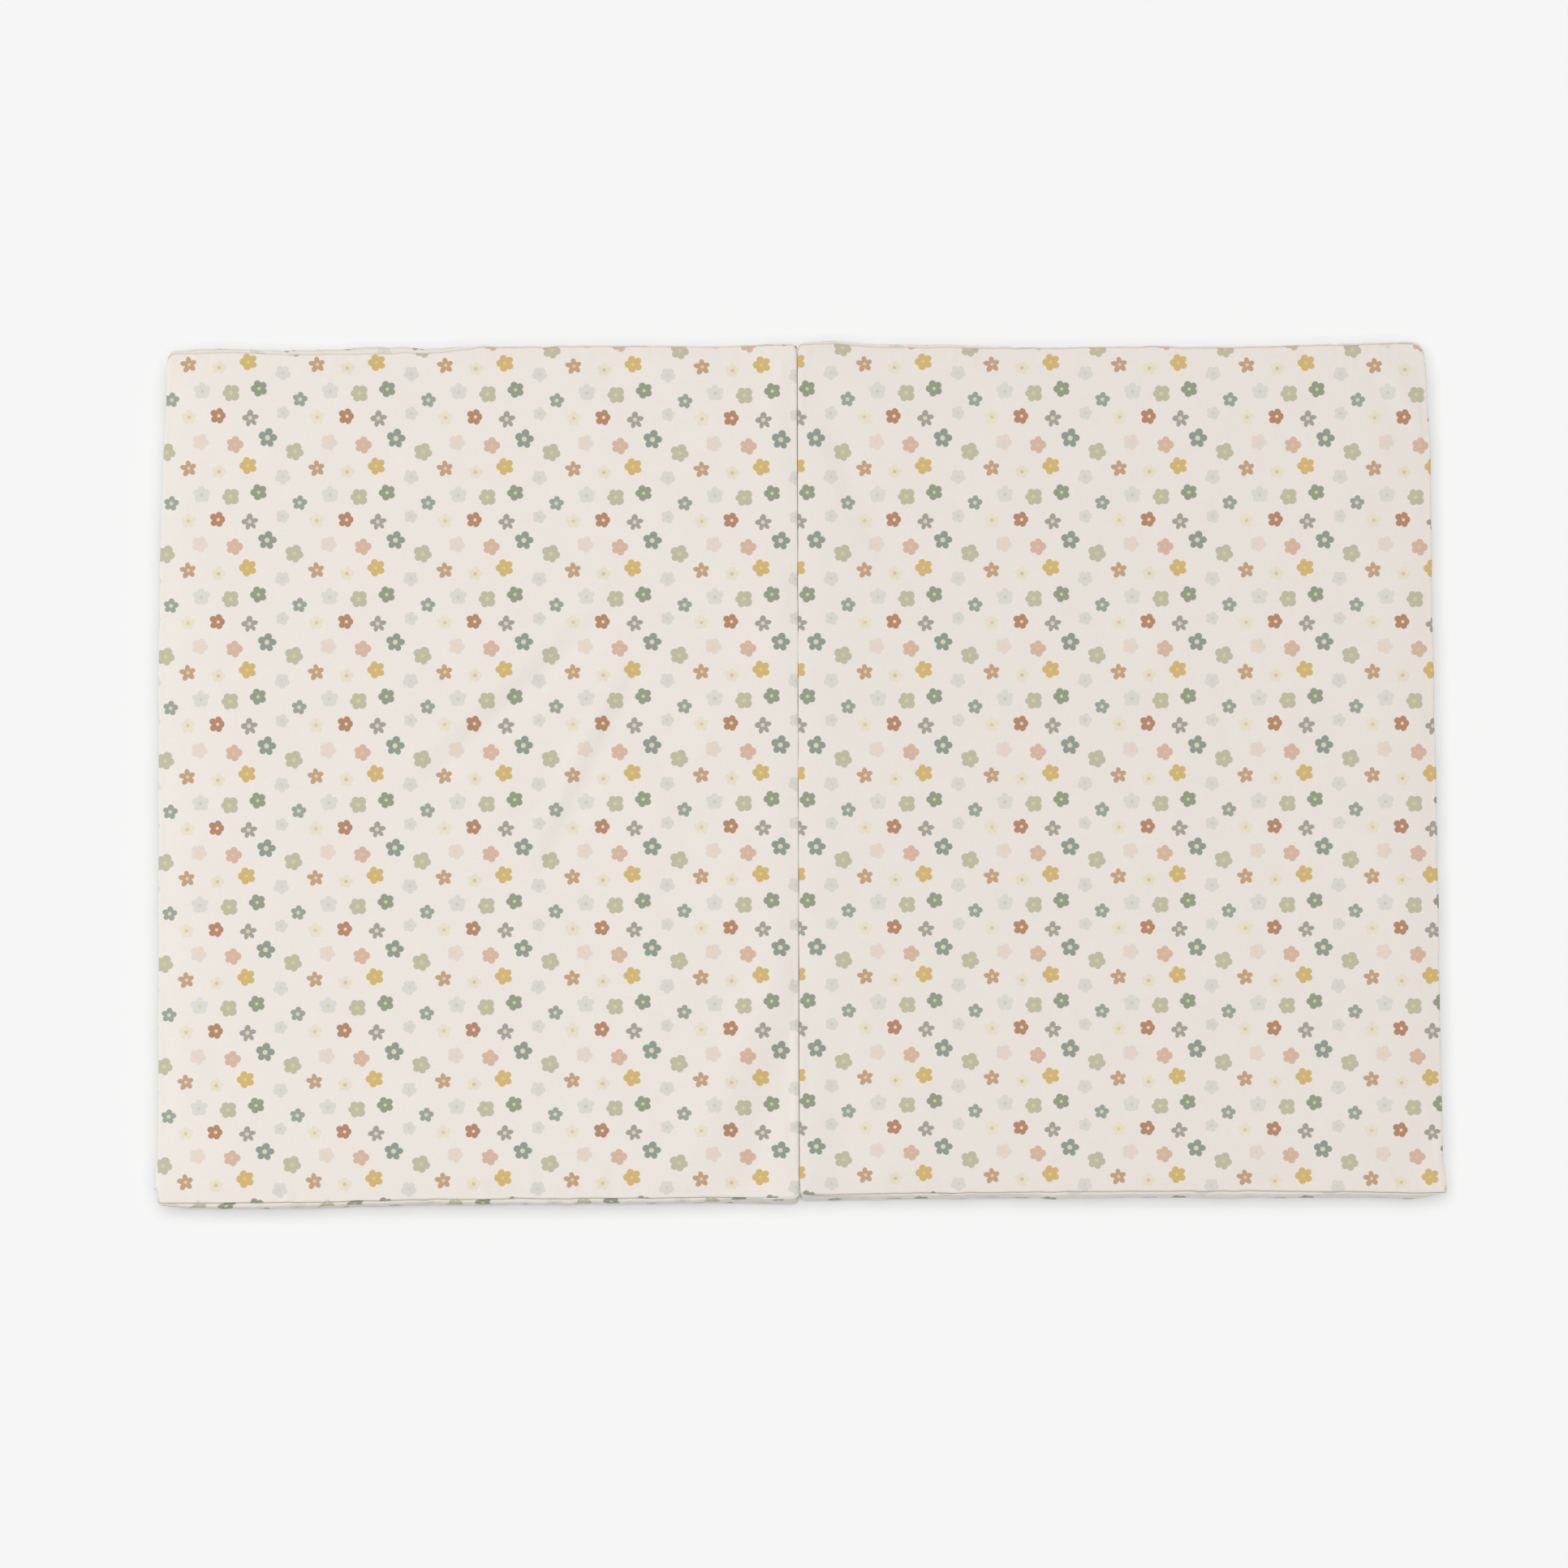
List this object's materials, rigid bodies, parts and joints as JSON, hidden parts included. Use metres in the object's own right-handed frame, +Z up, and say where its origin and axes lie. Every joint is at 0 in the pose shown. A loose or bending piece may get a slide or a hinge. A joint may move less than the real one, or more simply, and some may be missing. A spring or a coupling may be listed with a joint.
{
  "type": "baby play mat",
  "caption": "Padded folding play mat with foam panels hinged along the middle, boxed sides and a floral printed cotton cover, lying flat.",
  "frame": {"origin": "on the floor, under the middle of the mat's bounding box", "axes": "+X along the mat's length, across both panels, +Y to its far side, and +Z up through the top cloth"},
  "size_m": [1.5142, 1.0299, 0.0451],
  "materials": {
    "left_cover": "matt printed cotton, woven plain",
    "right_cover": "matt printed cotton, woven plain",
    "left_boxing_cloth": "matt printed cotton, woven plain",
    "right_boxing_cloth": "matt printed cotton, woven plain",
    "hinge_cloth": "matt printed cotton, woven plain",
    "label_tape": "white woven tape"
  },
  "bodies": {
    "root": {"left_panel": "left_cover", "right_panel": "right_cover", "left_boxing": "left_boxing_cloth", "right_boxing": "right_boxing_cloth", "centre_hinge": "hinge_cloth", "side_label": "label_tape"}
  },
  "joints": []
}
